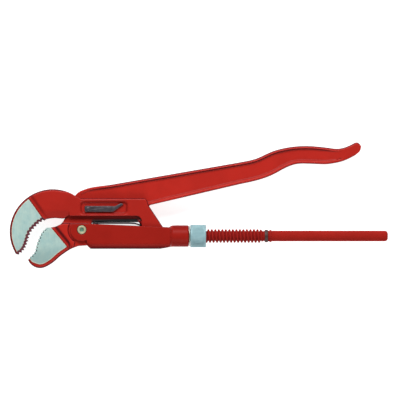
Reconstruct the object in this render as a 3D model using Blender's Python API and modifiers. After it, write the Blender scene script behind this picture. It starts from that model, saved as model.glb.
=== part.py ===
"""Swedish-pattern pipe wrench with S-shaped jaws, 1 1/2 inch class.

The wrench lies flat: X runs along the threaded spindle towards the handle ends, Y points from
the spindle to the I-beam handle, and Z is its thickness. The shapes are laid out in a design
frame whose origin is the point on the spindle's axis that is level with the pivot rivet.
"""

import math

import bmesh
import bpy
from mathutils import Matrix, Vector

MM = 0.001
GAP = 0.3

# Driving dimensions, in millimetres.
JAW_HALF = 7.5
NECK_HALF = 10.5
FORK_INNER_HALF = 5.8
LEVER_HALF = 5.5
HANDLE_HALF = 7.0
WEB_HALF = 4.6
LOWER_NECK_HALF = 12.5
CHANNEL_HALF = 10.8
SLEEVE_HALF = 14.0

HOOK_CENTRE = (-33.9, 5.9)
HOOK_RADIUS = 45.6
HOOK_OVALITY = 1.5
TOOTH_PITCH = 3.8
HOOK_TOOTH_DEPTH = 2.6
LOWER_TOOTH_DEPTH = 1.4

PIVOT = (0.0, 7.0)
RIVET_RADIUS = 4.1
RIVET_HEAD_RADIUS = 4.9
RIVET_HEAD_HEIGHT = 1.4
CHEEK_RADIUS = 12.7
RELIEF_RADIUS = 15.5
HUB_RADIUS = 10.0

BOX_TOP = 41.9
BOX_BOTTOM = 22.25
SHANK_FRONT, SHANK_BACK = 66.5, 89.0
SHANK_TOP, SHANK_BOTTOM = 8.2, -8.0

SLEEVE_FRONT, SLEEVE_BACK = 6.7, 99.0
CHANNEL_FLOOR = -8.4
CHANNEL_END = 95.5
NECK_TUBE_RADIUS = 12.0
NECK_TUBE_BACK = 119.0
SPINDLE_BORE_RADIUS = 7.9

THREAD_RADIUS = 7.5
THREAD_ROOT_RADIUS = 5.2
THREAD_PITCH = 3.9
THREAD_FRONT, THREAD_BACK = 107.0, 203.0
THREAD_CLEARANCE = 0.35
BAR_RADIUS = 5.9
BAR_BACK = 340.3

NUT_FRONT, NUT_BACK = 120.5, 138.0
NUT_RADIUS = 12.5
WASHER_FRONT, WASHER_BACK = 119.3, 120.2
WASHER_RADIUS = 11.2
RING_FRONT, RING_BACK = 203.3, 206.9
RING_RADIUS = 7.1

LEAF_THICKNESS = 1.6
LEAF_HALF_WIDTH = 4.5
LEAF_RIVET_X = 17.0
LEAF_LEVEL = 14.3
POCKET_DEPTH = 3.3
GUIDE_THICKNESS = 1.8
GUIDE_RIVET = (6.8, 30.0)

RED_PAINT = (0.40, 0.024, 0.018)
BARE_STEEL = (0.42, 0.50, 0.47)
ZINC = (0.38, 0.50, 0.50)
DARK_STEEL = (0.075, 0.065, 0.068)


# Turns a plate drawn across the spindle (Z, Y) so that its thickness runs along X.
LENGTHWISE = Matrix(((0, 0, 1, 0), (0, 1, 0, 0), (-1, 0, 0, 0), (0, 0, 0, 1)))


# Scene and object helpers.

def clear_scene():
    for old in list(bpy.data.objects):
        bpy.data.objects.remove(old, do_unlink=True)


def new_collection(name):
    group = bpy.data.collections.new(name)
    bpy.context.scene.collection.children.link(group)
    return group


def new_material(name, colour, roughness, metallic):
    made = bpy.data.materials.new(name)
    made.use_nodes = True
    shader = made.node_tree.nodes["Principled BSDF"]
    shader.inputs["Base Color"].default_value = (*colour, 1.0)
    shader.inputs["Roughness"].default_value = roughness
    shader.inputs["Metallic"].default_value = metallic
    return made


def as_cutter(obj):
    """Moves a shape that only cuts or joins into the hidden collection."""
    for group in obj.users_collection:
        group.objects.unlink(obj)
    cutters.objects.link(obj)
    obj.hide_render = True
    obj.display_type = "WIRE"
    return obj


def combine(obj, tool, operation):
    step = obj.modifiers.new(f"{operation.lower()}_{tool.name}", "BOOLEAN")
    step.operation = operation
    step.solver = "EXACT"
    step.object = as_cutter(tool)


def round_smooth(obj, angle=35.0):
    obj.data.shade_smooth()
    obj.data.set_sharp_from_angle(angle=math.radians(angle))


# Outline helpers: every outline is a list of (x, y) points in millimetres.

def arc(centre, radius, start, end, step=7.5):
    """Points on an arc, from one angle to another in degrees."""
    count = max(2, round(abs(end - start) / step))
    angles = [math.radians(start + (end - start) * i / count) for i in range(count + 1)]
    return [(centre[0] + radius * math.cos(a), centre[1] + radius * math.sin(a)) for a in angles]


def hook_back():
    """The outer edge of the hook, from the box plate round to the tip: a slightly oval arc."""
    points = []
    for degrees in range(55, 208, 6):
        angle = math.radians(degrees)
        radius = HOOK_RADIUS + HOOK_OVALITY * math.sin(angle - math.radians(130)) ** 2
        points.append((HOOK_CENTRE[0] + radius * math.cos(angle),
                       HOOK_CENTRE[1] + radius * math.sin(angle)))
    return points


def smooth(points, steps=4):
    """A curve through the points (Catmull-Rom), ends included."""
    ends = [points[0], *points, points[-1]]
    result = []
    for a, b, c, d in zip(ends, ends[1:], ends[2:], ends[3:]):
        for i in range(steps):
            t = i / steps
            weights = (-t + 2 * t**2 - t**3, 2 - 5 * t**2 + 3 * t**3,
                       t + 4 * t**2 - 3 * t**3, t**3 - t**2)
            result.append(tuple(sum(w * p[k] for w, p in zip(weights, (a, b, c, d))) / 2
                                for k in (0, 1)))
    return result + [points[-1]]


def walk(points, distance):
    """The point and the direction at a distance along a line of points."""
    for a, b in zip(points, points[1:]):
        length = math.dist(a, b)
        if distance <= length or b is points[-1]:
            along = ((b[0] - a[0]) / length, (b[1] - a[1]) / length)
            return (a[0] + along[0] * distance, a[1] + along[1] * distance), along
        distance -= length


def shifted(points, distance):
    """The line of points moved to its left by a distance."""
    moved = []
    for before, here, after in zip([points[0], *points], points, [*points[1:], points[-1]]):
        dx, dy = after[0] - before[0], after[1] - before[1]
        length = math.hypot(dx, dy)
        moved.append((here[0] - dy / length * distance, here[1] + dx / length * distance))
    return moved


def teeth(points, depth):
    """Saw teeth along a line of points, with their roots cut to its left."""
    total = sum(math.dist(a, b) for a, b in zip(points, points[1:]))
    count = round(total / TOOTH_PITCH)
    edge = []
    for i in range(count):
        tip, _ = walk(points, total * i / count)
        root, along = walk(points, total * (i + 0.45) / count)
        edge += [tip, (root[0] - along[1] * depth, root[1] + along[0] * depth)]
    return edge + [points[-1]]


# Solid helpers: heights are Z in millimetres, and sizes become metres here.

def flat_solid(name, outline, low, high):
    """A flat plate of any outline between two heights, from a filled 2D curve."""
    curve = bpy.data.curves.new(name, "CURVE")
    curve.dimensions = "2D"
    curve.fill_mode = "BOTH"
    curve.extrude = (high - low) / 2 * MM
    spline = curve.splines.new("POLY")
    spline.points.add(len(outline) - 1)
    for point, (x, y) in zip(spline.points, outline):
        point.co = (x * MM, y * MM, 0.0, 1.0)
    spline.use_cyclic_u = True
    drawn = bpy.data.objects.new(name + "_outline", curve)
    parts.objects.link(drawn)
    drawn.location.z = (high + low) / 2 * MM
    bpy.context.view_layer.update()
    evaluated = drawn.evaluated_get(bpy.context.evaluated_depsgraph_get())
    mesh = bpy.data.meshes.new_from_object(evaluated)
    weld_caps(mesh)
    solid = bpy.data.objects.new(name, mesh)
    solid.matrix_world = drawn.matrix_world.copy()
    parts.objects.link(solid)
    bpy.data.objects.remove(drawn)
    return solid


def weld_caps(mesh):
    shape = bmesh.new()
    shape.from_mesh(mesh)
    bmesh.ops.remove_doubles(shape, verts=shape.verts, dist=1e-6)
    bmesh.ops.recalc_face_normals(shape, faces=shape.faces)
    shape.to_mesh(mesh)
    shape.free()


def turned(name, profile, segments=32, axis="X", centre=(0.0, 0.0, 0.0)):
    """A solid of revolution: (distance along the axis, radius) points, run down its outside."""
    mesh = bpy.data.meshes.new(name)
    points = [(radius * MM, 0.0, along * MM) for along, radius in profile]
    mesh.from_pydata(points, [(i, i + 1) for i in range(len(points) - 1)], [])
    solid = bpy.data.objects.new(name, mesh)
    parts.objects.link(solid)
    screw = solid.modifiers.new("turn", "SCREW")
    screw.steps = segments
    screw.render_steps = segments
    screw.use_merge_vertices = True
    screw.merge_threshold = 1e-6
    screw.use_smooth_shade = True
    if axis == "X":
        solid.rotation_euler.y = math.radians(90)
    if axis == "Y":
        solid.rotation_euler.x = math.radians(-90)
    solid.location = Vector(centre) * MM
    return solid


def cylinder(name, radius, low, high, centre=(0.0, 0.0), segments=32):
    """A round bar along Z, for holes and studs."""
    mesh = bpy.data.meshes.new(name)
    shape = bmesh.new()
    bmesh.ops.create_cone(shape, cap_ends=True, segments=segments, radius1=radius * MM,
                          radius2=radius * MM, depth=(high - low) * MM)
    shape.to_mesh(mesh)
    shape.free()
    solid = bpy.data.objects.new(name, mesh)
    parts.objects.link(solid)
    solid.location = Vector((centre[0], centre[1], (low + high) / 2)) * MM
    return solid


def ramp_thickness(obj, start, end, half_start, half_end):
    """Changes a plate's half thickness evenly from one line across it to another.

    start and end are points in the plate; the lines run through them, square to the way from
    start to end.
    """
    a, b = Vector((*start, 0.0)) * MM, Vector((*end, 0.0)) * MM
    along = (b - a).normalized()
    span = (b - a).length
    shape = bmesh.new()
    shape.from_mesh(obj.data)
    for point in (a, b):
        geometry = [*shape.verts, *shape.edges, *shape.faces]
        bmesh.ops.bisect_plane(shape, geom=geometry, dist=1e-7, plane_co=point, plane_no=along)
    bmesh.ops.triangulate(shape, faces=shape.faces)
    for vertex in shape.verts:
        flat = Vector((vertex.co.x, vertex.co.y, 0.0))
        share = min(max((flat - a).dot(along) / span, 0.0), 1.0)
        half = half_start + (half_end - half_start) * share
        vertex.co.z = math.copysign(half * MM, vertex.co.z)
    shape.to_mesh(obj.data)
    shape.free()


def threaded_bar(name, front, back, clearance=0.0, segments=24):
    """A bar along X with a right-hand trapezoid thread that runs out at both ends."""
    root, crest = THREAD_ROOT_RADIUS + clearance, THREAD_RADIUS + clearance
    rows_a_turn = 4
    heights = (0.0, 0.0, 1.0, 1.0)
    fractions = (0.0, 0.20, 0.50, 0.72)
    turns = math.floor((back - front) / THREAD_PITCH) - 1
    rows = turns * rows_a_turn + 1
    shape = bmesh.new()
    grid = [[None] * rows for _ in range(segments)]
    for i in range(segments):
        angle = 2 * math.pi * i / segments
        for j in range(rows):
            turn, row = divmod(j, rows_a_turn)
            x = front + THREAD_PITCH * (turn + fractions[row] + i / segments)
            runout = min(1.0, max(0.0, min(x - front - 1.0, back - 1.0 - x) / THREAD_PITCH))
            radius = root + (crest - root) * heights[row] * runout
            at = Vector((x, radius * math.cos(angle), radius * math.sin(angle))) * MM
            grid[i][j] = shape.verts.new(at)
    first = bmesh.ops.create_circle(shape, segments=segments, radius=root * MM)["verts"]
    last = bmesh.ops.create_circle(shape, segments=segments, radius=root * MM)["verts"]
    for i in range(segments):
        angle = 2 * math.pi * i / segments
        ring = Vector((0.0, root * math.cos(angle), root * math.sin(angle)))
        first[i].co = (ring + Vector((front, 0.0, 0.0))) * MM
        last[i].co = (ring + Vector((back, 0.0, 0.0))) * MM
    for i in range(segments - 1):
        for j in range(rows - 1):
            shape.faces.new((grid[i][j], grid[i][j + 1], grid[i + 1][j + 1], grid[i + 1][j]))
        shape.faces.new((first[i], grid[i][0], grid[i + 1][0], first[i + 1]))
        shape.faces.new((grid[i][-1], last[i], last[i + 1], grid[i + 1][-1]))
    near, far, wrap = grid[-1], grid[0], rows_a_turn
    for j in range(rows - 1 - wrap):
        shape.faces.new((near[j], near[j + 1], far[j + 1 + wrap], far[j + wrap]))
    shape.faces.new((first[-1], near[0], *reversed(far[:wrap + 1]), first[0]))
    shape.faces.new((*near[rows - 1 - wrap:], last[-1], last[0], far[-1]))
    shape.faces.new(first)
    shape.faces.new(last)
    bmesh.ops.recalc_face_normals(shape, faces=shape.faces)
    mesh = bpy.data.meshes.new(name)
    shape.to_mesh(mesh)
    shape.free()
    solid = bpy.data.objects.new(name, mesh)
    parts.objects.link(solid)
    return solid


# The pieces.

def make_hook_jaw():
    """Hook jaw, neck, box plates on both sides of the lever, and the shank in the sleeve."""
    bite = smooth([(-69.8, -20.9), (-64.0, -16.0), (-60.4, -8.4), (-57.0, 2.8), (-52.5, 8.6),
                   (-46.6, 14.4), (-41.5, 17.0)])
    outline = teeth(bite, HOOK_TOOTH_DEPTH)
    outline += smooth([(-40.2, 18.6), (-35.8, 19.4), (-29.5, 19.9), (-20.9, 19.2), (-17.8, 20.6),
                       (-16.0, BOX_BOTTOM)], 2)
    outline += arc((60.0, 15.25), 7.0, 90, 0, 15)
    outline += [(SHANK_FRONT, SHANK_TOP), (SHANK_FRONT, SHANK_BOTTOM)]
    outline += [(SHANK_BACK, SHANK_BOTTOM), (SHANK_BACK, 9.5)]
    outline += [(90.4, 9.5), (74.0, 34.2), *arc((69.2, 38.4), 3.5, 10, 90, 20)]
    outline += [(-1.2, BOX_TOP), *hook_back(), (-73.6, -20.0)]
    hook = flat_solid("hook_jaw", outline, -NECK_HALF, NECK_HALF)
    ramp_thickness(hook, (-46.3, 34.3), (-51.6, 30.55), NECK_HALF, JAW_HALF)
    passage = [(-31.7, 18.0), (-15.0, 55.0), (110.0, 55.0), (110.0, SHANK_TOP),
               (SHANK_FRONT - 4.0, SHANK_TOP), (SHANK_FRONT - 4.0, 0.0), (-31.7, 0.0)]
    combine(hook, flat_solid("lever_passage", passage, -FORK_INNER_HALF, FORK_INNER_HALF),
            "DIFFERENCE")
    pocket = [*arc((47.0, 34.8), 3.0, 0, 90, 30), *arc((2.0, 34.8), 3.0, 90, 180, 30),
              *arc((2.0, 28.0), 3.0, 180, 270, 30), *arc((47.0, 28.0), 3.0, 270, 360, 30)]
    chamfer_neck(hook)
    combine(hook, flat_solid("spring_pocket", pocket, NECK_HALF - POCKET_DEPTH, NECK_HALF + 5.0),
            "DIFFERENCE")
    combine(hook, cylinder("guide_rivet_hole", 1.8, 2.0, NECK_HALF, GUIDE_RIVET, 16),
            "DIFFERENCE")
    stub = turned("spindle_socket", [(SHANK_BACK + 5.0, 0.0), (SHANK_BACK + 5.0, 4.3),
                                     (SHANK_FRONT + 6.0, 4.3), (SHANK_FRONT + 6.0, 0.0)], 24)
    combine(hook, stub, "DIFFERENCE")
    return hook


def chamfer_neck(hook):
    """Slopes both faces of the neck down to its inner edge."""
    inner_edge, wide, deep = 19.6, 9.0, 2.6
    for side in (-1, 1):
        face, foot = side * NECK_HALF, side * (NECK_HALF - deep)
        profile = [(face, inner_edge + wide), (foot, inner_edge), (foot, inner_edge - 3.0),
                   (face + side * 3.0, inner_edge - 3.0), (face + side * 3.0, inner_edge + wide)]
        prism = flat_solid(f"neck_chamfer_{side + 1}", profile, -46.0, -14.0)
        prism.matrix_world = LENGTHWISE @ prism.matrix_world
        combine(hook, prism, "DIFFERENCE")


def make_threaded_spindle():
    """Stepped bar: tenon in the shank, guide length, rolled thread and the round handle."""
    spindle = threaded_bar("threaded_spindle", THREAD_FRONT, THREAD_BACK)
    front = turned("spindle_front", [
        (THREAD_FRONT + 1.0, 0.0), (THREAD_FRONT + 1.0, THREAD_RADIUS - 1.0),
        (THREAD_FRONT, THREAD_RADIUS),
        (SHANK_BACK + GAP, THREAD_RADIUS), (SHANK_BACK + GAP, 4.0), (SHANK_FRONT + 7.0, 4.0),
        (SHANK_FRONT + 6.5, 3.5), (SHANK_FRONT + 6.5, 0.0)], 24)
    combine(spindle, front, "UNION")
    tip = 5.2
    handle = [(BAR_BACK, 0.0)]
    handle += [(BAR_BACK - tip * (1 - math.cos(a)), BAR_RADIUS * math.sin(a))
               for a in (math.radians(angle) for angle in (20, 40, 60, 75, 90))]
    handle += [(THREAD_BACK, BAR_RADIUS), (THREAD_BACK - 0.7, THREAD_ROOT_RADIUS - 0.05),
               (THREAD_BACK - 0.7, 0.0)]
    combine(spindle, turned("round_handle", handle, 24), "UNION")
    return spindle


def handle_edges():
    """The top and bottom edges of the I-beam handle, both from the box to its bent tip."""
    top = [(31.2, 56.9)]
    top += smooth([(175.8, 82.0), (193.4, 85.9), (212.7, 94.5), (231.2, 98.9), (249.6, 100.2),
                   (268.0, 98.9), (284.0, 97.0), (295.0, 99.5), (304.1, 104.1)], 3)
    bottom = [(74.9, 34.1)]
    bottom += smooth([(175.8, 57.7), (194.3, 61.8), (210.8, 67.5), (227.4, 76.3), (240.0, 80.3),
                      (256.0, 80.3), (272.7, 79.9), (290.0, 83.2), (303.4, 89.5)], 3)
    return top, bottom


def make_lower_jaw_lever():
    """Lower jaw, neck and hub, and the I-beam handle that passes through the box."""
    top, bottom = handle_edges()
    under = [(-14.0, -15.3), (-24.0, -22.2), (-33.0, -30.0), (-43.0, -35.3), (-51.0, -35.0),
             (-57.2, -31.0), (-60.2, -26.2)]
    bite = smooth([(-57.8, -24.9), (-51.6, -18.4), (-49.7, -10.7), (-47.0, -3.4), (-43.2, 4.2),
                   (-37.6, 9.2)])
    outline = smooth([(6.3, -10.5), (-4.0, -11.2), *under], 3)
    outline += teeth(bite, LOWER_TOOTH_DEPTH)
    outline += smooth([(-33.7, 9.6), (-28.6, 10.8), (-24.5, 12.6), (-21.0, 16.0),
                       (-19.0, 20.0)], 2)
    outline += smooth([(-7.2, 45.6), (-2.6, 49.6), (7.0, 53.2), (15.5, 54.9), (31.2, 56.9)], 3)
    outline += top[1:]
    outline += smooth([(307.0, 104.0), (310.6, 99.8), (309.0, 94.0)], 2)
    outline += bottom[::-1]
    outline += smooth([(74.4, 24.0), (70.6, 17.8), (64.0, 15.4)], 2)
    outline += [(11.2, 15.4), (HUB_RADIUS, PIVOT[1]), (6.3, -1.0)]
    lever = flat_solid("lower_jaw_lever", outline, -LEVER_HALF, LEVER_HALF)
    ramp_thickness(lever, (82.0, 45.0), (95.0, 47.25), LEVER_HALF, HANDLE_HALF)

    neck = smooth([(-9.5, -13.2), *under], 3) + teeth(bite, LOWER_TOOTH_DEPTH)
    neck += smooth([(-33.7, 9.6), (-28.6, 10.8), (-24.5, 12.6)], 2)
    neck += [(-20.5, 13.9), *arc(PIVOT, RELIEF_RADIUS, 153.5, 240, 9.6)]
    slab = flat_solid("lower_neck", neck, -LOWER_NECK_HALF, LOWER_NECK_HALF)
    ramp_thickness(slab, (-20.2, 2.5), (-25.3, -1.4), LOWER_NECK_HALF, JAW_HALF)
    combine(lever, slab, "UNION")

    hub = [(-17.0, 13.4), (7.7, 13.4), *arc(PIVOT, HUB_RADIUS, 32, -42, 12)]
    hub += [(6.3, -1.0), (6.3, -10.4), (-4.0, -11.1), (-13.0, -14.4)]
    combine(lever, flat_solid("pivot_hub", hub, -NECK_HALF, NECK_HALF), "UNION")

    shoulder = [(-2.6, 49.6), (7.0, 53.2), (15.5, 54.9)]
    web_top = shifted([*shoulder, *top[:-3]], -3.0)
    web_bottom = shifted([(60.0, 31.2), *bottom[:-3]], 3.4)
    web = [(0.0, 38.0), *web_top, (294.0, 93.0), *web_bottom[::-1]]
    for side in (-1, 1):
        low, high = sorted((side * WEB_HALF, side * (HANDLE_HALF + 2.0)))
        combine(lever, flat_solid(f"web_recess_{side + 1}", web, low, high), "DIFFERENCE")
    combine(lever, cylinder("rivet_hole", RIVET_RADIUS + GAP, -20.0, 20.0, PIVOT), "DIFFERENCE")
    hole = turned("leaf_rivet_hole", [(22.0, 0.0), (22.0, 1.8), (10.0, 1.8), (10.0, 0.0)], 16,
                  "Y", (LEAF_RIVET_X, 0.0, 0.0))
    combine(lever, hole, "DIFFERENCE")
    return lever


def make_sleeve():
    """Channel bar with two round cheeks at the pivot and a tubular neck behind."""
    side = [(-10.96, 13.4), (14.0, 13.4), (SLEEVE_BACK, 9.7), (SLEEVE_BACK, -12.1),
            (86.8, -14.2), (9.6, -14.2), (SLEEVE_FRONT - 1.2, -10.0)]
    side += arc(PIVOT, CHEEK_RADIUS, -64.3, -210.3, 8)[:-1]
    sleeve = flat_solid("sleeve", side, -SLEEVE_HALF, SLEEVE_HALF)
    corner = 8.0
    wide, deep = SLEEVE_HALF + 0.2, 14.4
    across = [(-wide, 30.0), *arc((-wide + corner, -deep + corner), corner, 180, 270, 18),
              *arc((wide - corner, -deep + corner), corner, 270, 360, 18), (wide, 30.0)]
    rounding = flat_solid("rounded_underside", across, -20.0, SLEEVE_BACK + 1.0)
    rounding.matrix_world = LENGTHWISE @ rounding.matrix_world
    combine(sleeve, rounding, "INTERSECT")
    tube = turned("neck_tube", [
        (NECK_TUBE_BACK, 0.0), (NECK_TUBE_BACK, NECK_TUBE_RADIUS - 1.5),
        (NECK_TUBE_BACK - 0.5, NECK_TUBE_RADIUS - 0.5), (NECK_TUBE_BACK - 1.5, NECK_TUBE_RADIUS),
        (SLEEVE_BACK - 1.0, NECK_TUBE_RADIUS), (SLEEVE_BACK - 1.0, 0.0)], 40)
    combine(sleeve, tube, "UNION")
    room = [(-30.0, -30.0), (-30.0, 40.0), (CHANNEL_END, 40.0), (CHANNEL_END, CHANNEL_FLOOR),
            (SLEEVE_FRONT, CHANNEL_FLOOR), (SLEEVE_FRONT, -30.0)]
    combine(sleeve, flat_solid("channel", room, -CHANNEL_HALF, CHANNEL_HALF), "DIFFERENCE")
    bore = turned("spindle_bore", [(NECK_TUBE_BACK + 5.0, 0.0),
                                   (NECK_TUBE_BACK + 5.0, SPINDLE_BORE_RADIUS),
                                   (CHANNEL_END - 5.0, SPINDLE_BORE_RADIUS),
                                   (CHANNEL_END - 5.0, 0.0)], 32)
    combine(sleeve, bore, "DIFFERENCE")
    combine(sleeve, cylinder("cheek_holes", RIVET_RADIUS + GAP, -20.0, 20.0, PIVOT), "DIFFERENCE")
    seat = SLEEVE_HALF - RIVET_HEAD_HEIGHT - GAP
    for side in (-1, 1):
        low, high = sorted((side * seat, side * 20.0))
        sink = cylinder(f"head_seat_{side + 1}", RIVET_HEAD_RADIUS + GAP, low, high, PIVOT)
        combine(sleeve, sink, "DIFFERENCE")
    return sleeve


def make_pivot_rivet():
    """Rivet along Z whose dimpled heads lie flush in the cheeks."""
    face = SLEEVE_HALF
    under = face - RIVET_HEAD_HEIGHT
    half = [(face - 0.9, 0.0), (face - 0.9, 1.2), (face - 0.15, 2.8), (face, 3.3),
            (face, 4.2), (face - 0.5, RIVET_HEAD_RADIUS), (under, RIVET_HEAD_RADIUS),
            (under, RIVET_RADIUS)]
    profile = half + [(-along, radius) for along, radius in reversed(half)]
    return turned("pivot_rivet", profile, 32, "Z", (*PIVOT, 0.0))


def make_adjusting_nut():
    """Round nut with chamfered rims and an inner thread that fits the spindle."""
    rim = 1.1
    bore = THREAD_ROOT_RADIUS + THREAD_CLEARANCE
    nut = turned("adjusting_nut", [
        (NUT_BACK, bore), (NUT_BACK, NUT_RADIUS - rim), (NUT_BACK - rim, NUT_RADIUS),
        (NUT_FRONT + rim, NUT_RADIUS), (NUT_FRONT, NUT_RADIUS - rim), (NUT_FRONT, bore),
        (NUT_BACK, bore)], 48)
    start = THREAD_FRONT + THREAD_PITCH
    tap = threaded_bar("nut_thread", start, start + 10 * THREAD_PITCH, THREAD_CLEARANCE)
    combine(nut, tap, "DIFFERENCE")
    return nut


def flat_ring(name, front, back, outer, inner, rim):
    """Turned ring on the spindle's axis with its outer edges broken."""
    return turned(name, [
        (back, inner), (back, outer - rim), (back - rim, outer), (front + rim, outer),
        (front, outer - rim), (front, inner), (back, inner)], 32)


def make_return_spring():
    """Steel leaf under the lever; its foot bends down onto the shank."""
    foot = SHANK_TOP + GAP + LEAF_THICKNESS / 2
    middle = smooth([(11.6, LEAF_LEVEL), (40.0, LEAF_LEVEL), (56.0, LEAF_LEVEL - 0.2),
                     (61.5, 13.2), (68.0, 10.8), (73.0, foot + 0.1), (77.0, foot + 0.2),
                     (81.0, foot + 1.6)], 3)
    half = LEAF_THICKNESS / 2
    outline = shifted(middle, half) + shifted(middle, -half)[::-1]
    leaf = flat_solid("return_spring", outline, -LEAF_HALF_WIDTH, LEAF_HALF_WIDTH)
    hole = turned("leaf_hole", [(18.0, 0.0), (18.0, 1.8), (10.0, 1.8), (10.0, 0.0)], 16, "Y",
                  (LEAF_RIVET_X, 0.0, 0.0))
    combine(leaf, hole, "DIFFERENCE")
    return leaf


def make_return_spring_rivet():
    top = LEAF_LEVEL - LEAF_THICKNESS / 2 - GAP
    return turned("return_spring_rivet", [
        (21.0, 0.0), (21.0, 1.5), (top, 1.5), (top, 3.0), (top - 0.6, 3.0), (top - 1.1, 2.2),
        (top - 1.1, 0.0)], 16, "Y", (LEAF_RIVET_X, 0.0, 0.0))


def make_guide_spring():
    """Stamped spring plate in the pocket of the box plate, with a turned-up tail."""
    outline = smooth([(32.5, 27.0), (35.5, 27.6), (38.0, 29.4)], 3)
    outline += [(46.4, 35.4), (43.6, 36.4), (35.8, 32.9), (34.0, 33.4)]
    outline += arc((4.4, 32.2), 1.2, 90, 180, 45) + arc((4.4, 28.2), 1.2, 180, 270, 45)
    low = NECK_HALF - POCKET_DEPTH + GAP
    plate = flat_solid("guide_spring", outline, low, low + GUIDE_THICKNESS)
    combine(plate, cylinder("guide_hole", 1.8, low - 5.0, low + 5.0, GUIDE_RIVET, 16),
            "DIFFERENCE")
    return plate


def make_guide_spring_rivet():
    seat = NECK_HALF - POCKET_DEPTH + GAP + GUIDE_THICKNESS + 0.05
    return turned("guide_spring_rivet", [
        (seat + 0.7, 0.0), (seat + 0.7, 1.9), (seat + 0.4, 2.4), (seat, 2.4), (seat, 1.5),
        (FORK_INNER_HALF + 0.1, 1.5), (FORK_INNER_HALF + 0.1, 0.0)], 16, "Z",
        (*GUIDE_RIVET, 0.0))


def extent(pieces):
    """The lowest and the highest corner of the pieces, in metres."""
    bpy.context.view_layer.update()
    graph = bpy.context.evaluated_depsgraph_get()
    corners = []
    for piece in pieces:
        made = piece.evaluated_get(graph)
        corners += [made.matrix_world @ vertex.co for vertex in made.data.vertices]
    low = Vector(min(corner[k] for corner in corners) for k in range(3))
    high = Vector(max(corner[k] for corner in corners) for k in range(3))
    return low, high


def frame_empty(name, at, parent=None):
    """An empty on a joint's axis, or at the base of the whole wrench."""
    empty = bpy.data.objects.new(name, None)
    parts.objects.link(empty)
    empty.location = Vector(at) * MM
    empty.parent = parent
    return empty


def hang(objects, empty, offset):
    """Parents shapes made in the design frame to an empty that stands at offset in it."""
    for obj in objects:
        obj.parent = empty
        obj.matrix_parent_inverse = Matrix.Translation(-Vector(offset) * MM)


clear_scene()
parts = new_collection("pipe_wrench")
cutters = new_collection("cutters")

red_hook = new_material("red_paint_hook", RED_PAINT, 0.35, 0.0)
red_lever = new_material("red_paint_lever", RED_PAINT, 0.35, 0.0)
red_sleeve = new_material("red_paint_sleeve", RED_PAINT, 0.35, 0.0)
red_spindle = new_material("red_paint_spindle", RED_PAINT, 0.35, 0.0)
zinc = new_material("zinc_plate", ZINC, 0.38, 0.9)
bright = new_material("rivet_steel", BARE_STEEL, 0.35, 1.0)
spring = new_material("spring_steel", DARK_STEEL, 0.42, 0.9)
grey = new_material("ring_steel", (0.16, 0.15, 0.14), 0.45, 0.9)

fixed = {
    make_hook_jaw(): red_hook,
    make_threaded_spindle(): red_spindle,
    flat_ring("stop_ring", RING_FRONT, RING_BACK, RING_RADIUS, BAR_RADIUS + GAP, 0.5): grey,
    make_guide_spring(): spring,
    make_guide_spring_rivet(): spring,
}
sliding = {
    make_sleeve(): red_sleeve,
    make_pivot_rivet(): bright,
    flat_ring("thrust_washer", WASHER_FRONT, WASHER_BACK, WASHER_RADIUS, THREAD_RADIUS + 0.4,
              0.2): bright,
}
turning = {make_adjusting_nut(): zinc}
swinging = {
    make_lower_jaw_lever(): red_lever,
    make_return_spring(): spring,
    make_return_spring_rivet(): spring,
}

low, high = extent([*fixed, *sliding, *turning, *swinging])
base = Vector(((low.x + high.x) / 2, (low.y + high.y) / 2, low.z)) / MM
nut_centre = ((NUT_FRONT + NUT_BACK) / 2, 0.0, 0.0)
wrench = frame_empty("wrench_base", (0.0, 0.0, 0.0))
slide = frame_empty("adjust_slide", -base, wrench)
pivot = frame_empty("grip_pivot", (*PIVOT, 0.0), slide)
nut_axis = frame_empty("nut_axis", nut_centre, slide)
hang(fixed, wrench, base)
hang(sliding, slide, (0.0, 0.0, 0.0))
hang(turning, nut_axis, nut_centre)
hang(swinging, pivot, (*PIVOT, 0.0))
hang(list(cutters.objects), wrench, base)

for group in (fixed, sliding, turning, swinging):
    for piece, finish in group.items():
        piece.data.materials.clear()
        piece.data.materials.append(finish)
        round_smooth(piece)
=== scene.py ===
"""Looks of the Swedish-pattern pipe wrench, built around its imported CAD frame.

The forged pieces are fine remeshed copies of the CAD solids with rounded rims, ground jaw faces
and painted flanks. Turned pieces are lathed again with finer profiles. Every distance in this
file is in millimetres in a design frame: X runs along the spindle, Y points from the spindle to
the I-beam handle, Z is the thickness from the middle plane, and the pivot rivet is at (0, 7).
"""

import math

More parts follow.
